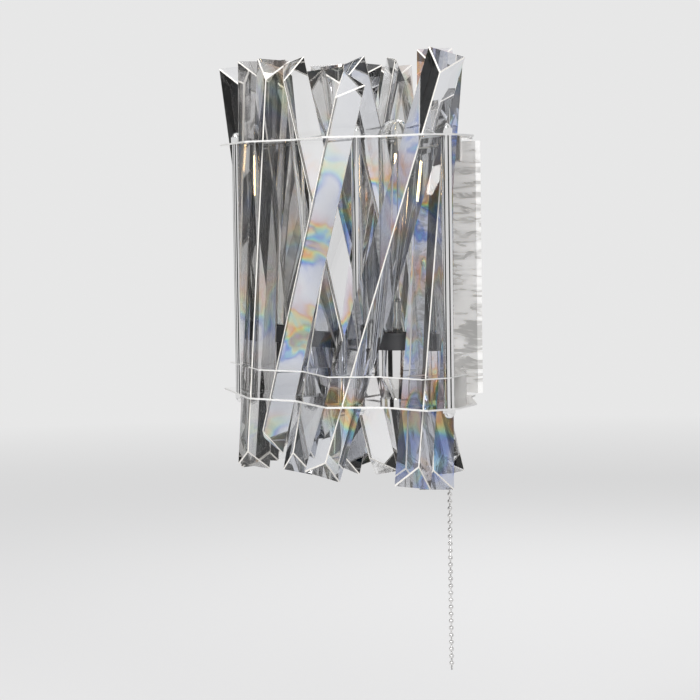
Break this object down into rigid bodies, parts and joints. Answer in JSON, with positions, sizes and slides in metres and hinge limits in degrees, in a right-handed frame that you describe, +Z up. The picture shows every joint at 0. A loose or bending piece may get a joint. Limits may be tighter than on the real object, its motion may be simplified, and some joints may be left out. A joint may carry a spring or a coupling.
{
  "type": "crystal wall light",
  "caption": "Wall light of leaning triangular crystal prisms through two mirror plates, with tubular bulbs inside and a pull-chain switch.",
  "frame": {"origin": "on the wall plane, midway between the two wall screw slots and midway between the plates", "axes": "+X along the wall to the switch side, +Y into the wall, +Z up"},
  "size_m": [0.25, 0.131, 0.4111],
  "materials": {
    "crystal": "clear polished crystal with sharp edges",
    "mirror_steel": "mirror-polished sheet",
    "mirror_tray": "mirror face, faintly rippled",
    "chrome": "polished plating",
    "plated_steel": "zinc-plated steel",
    "bulb_glass": "clear thin glass",
    "brass_cap": "plated screw cap",
    "filament_metal": "thin wire on a glass stem",
    "holder_plastic": "dark heat-proof moulding",
    "switch_plastic": "moulded case",
    "nylon": "white nylon",
    "rubber": "soft grommet",
    "spring_steel": "bright spring wire",
    "chain_chrome": "bright ball chain"
  },
  "bodies": {
    "lamp": {"prism_01": "crystal", "prism_02": "crystal", "prism_03": "crystal", "prism_04": "crystal", "prism_05": "crystal", "prism_06": "crystal", "prism_07": "crystal", "prism_08": "crystal", "prism_09": "crystal", "prism_10": "crystal", "prism_11": "crystal", "prism_12": "crystal", "prism_13": "crystal", "prism_14": "crystal", "prism_15": "crystal", "prism_16": "crystal", "prism_17": "crystal", "prism_18": "crystal", "prism_19": "crystal", "prism_20": "crystal", "prism_21": "crystal", "prism_22": "crystal", "upper_plate": "mirror_steel", "lower_plate": "mirror_steel", "wiring_cover": "mirror_steel", "back_plate": "mirror_tray", "wall_bracket": "plated_steel", "bracket_studs": "plated_steel", "wall_cap_nuts": "chrome", "cable_bush": "rubber", "tab_screws": "plated_steel", "tie_rods": "chrome", "spacer_tubes": "chrome", "top_cap_nuts": "chrome", "bottom_cap_nuts": "chrome", "switch_case": "switch_plastic", "switch_lid": "switch_plastic", "switch_nozzle": "chrome", "nozzle_nut": "chrome", "switch_spring": "spring_steel", "terminal_block": "nylon", "near_cone": "chrome", "near_cup": "chrome", "near_holder": "holder_plastic", "far_cone": "chrome", "far_cup": "chrome", "far_holder": "holder_plastic"},
    "near_bulb": {"near_bulb_cap": "brass_cap", "near_bulb_glass": "bulb_glass", "near_filament": "filament_metal"},
    "far_bulb": {"far_bulb_cap": "brass_cap", "far_bulb_glass": "bulb_glass", "far_filament": "filament_metal"},
    "pull": {"switch_plunger": "chrome", "chain_upper": "chain_chrome"},
    "link": {"chain_link": "chain_chrome"},
    "hanging_chain": {"chain_lower": "chain_chrome"},
    "rotor": {"switch_rotor": "nylon"}
  },
  "joints": [
    {"name": "pull_travel", "type": "slide", "parent": "lamp", "child": "pull", "axis": [0, 0, -1], "range_m": [0, 0.005], "stiffness_N_per_m": 300, "springref_m": -0.002, "deforming": ["switch_spring"]},
    {"name": "rotor_turn", "type": "hinge", "parent": "lamp", "child": "rotor", "pos_m": [0.055, -0.031, -0.071], "axis": [0, 0, 1], "range_deg": [0, 90]},
    {"name": "chain_swing_side", "type": "hinge", "parent": "pull", "child": "link", "pos_m": [0.055, -0.031, -0.14465], "axis": [0, 1, 0], "range_deg": [-40, 40]},
    {"name": "chain_swing_front", "type": "hinge", "parent": "link", "child": "hanging_chain", "pos_m": [0.055, -0.031, -0.14465], "axis": [1, 0, 0], "range_deg": [-40, 40]},
    {"name": "near_bulb_turn", "type": "hinge", "parent": "lamp", "child": "near_bulb", "pos_m": [0.0657, -0.078, 0], "axis": [0, 0, 1], "range_deg": [0, 1080]},
    {"name": "far_bulb_turn", "type": "hinge", "parent": "lamp", "child": "far_bulb", "pos_m": [-0.0657, -0.078, 0], "axis": [0, 0, 1], "range_deg": [0, 1080]}
  ],
  "couplings": [
    {"joint": "rotor_turn", "follows": "pull_travel", "rad_per_m": 314.14}
  ]
}
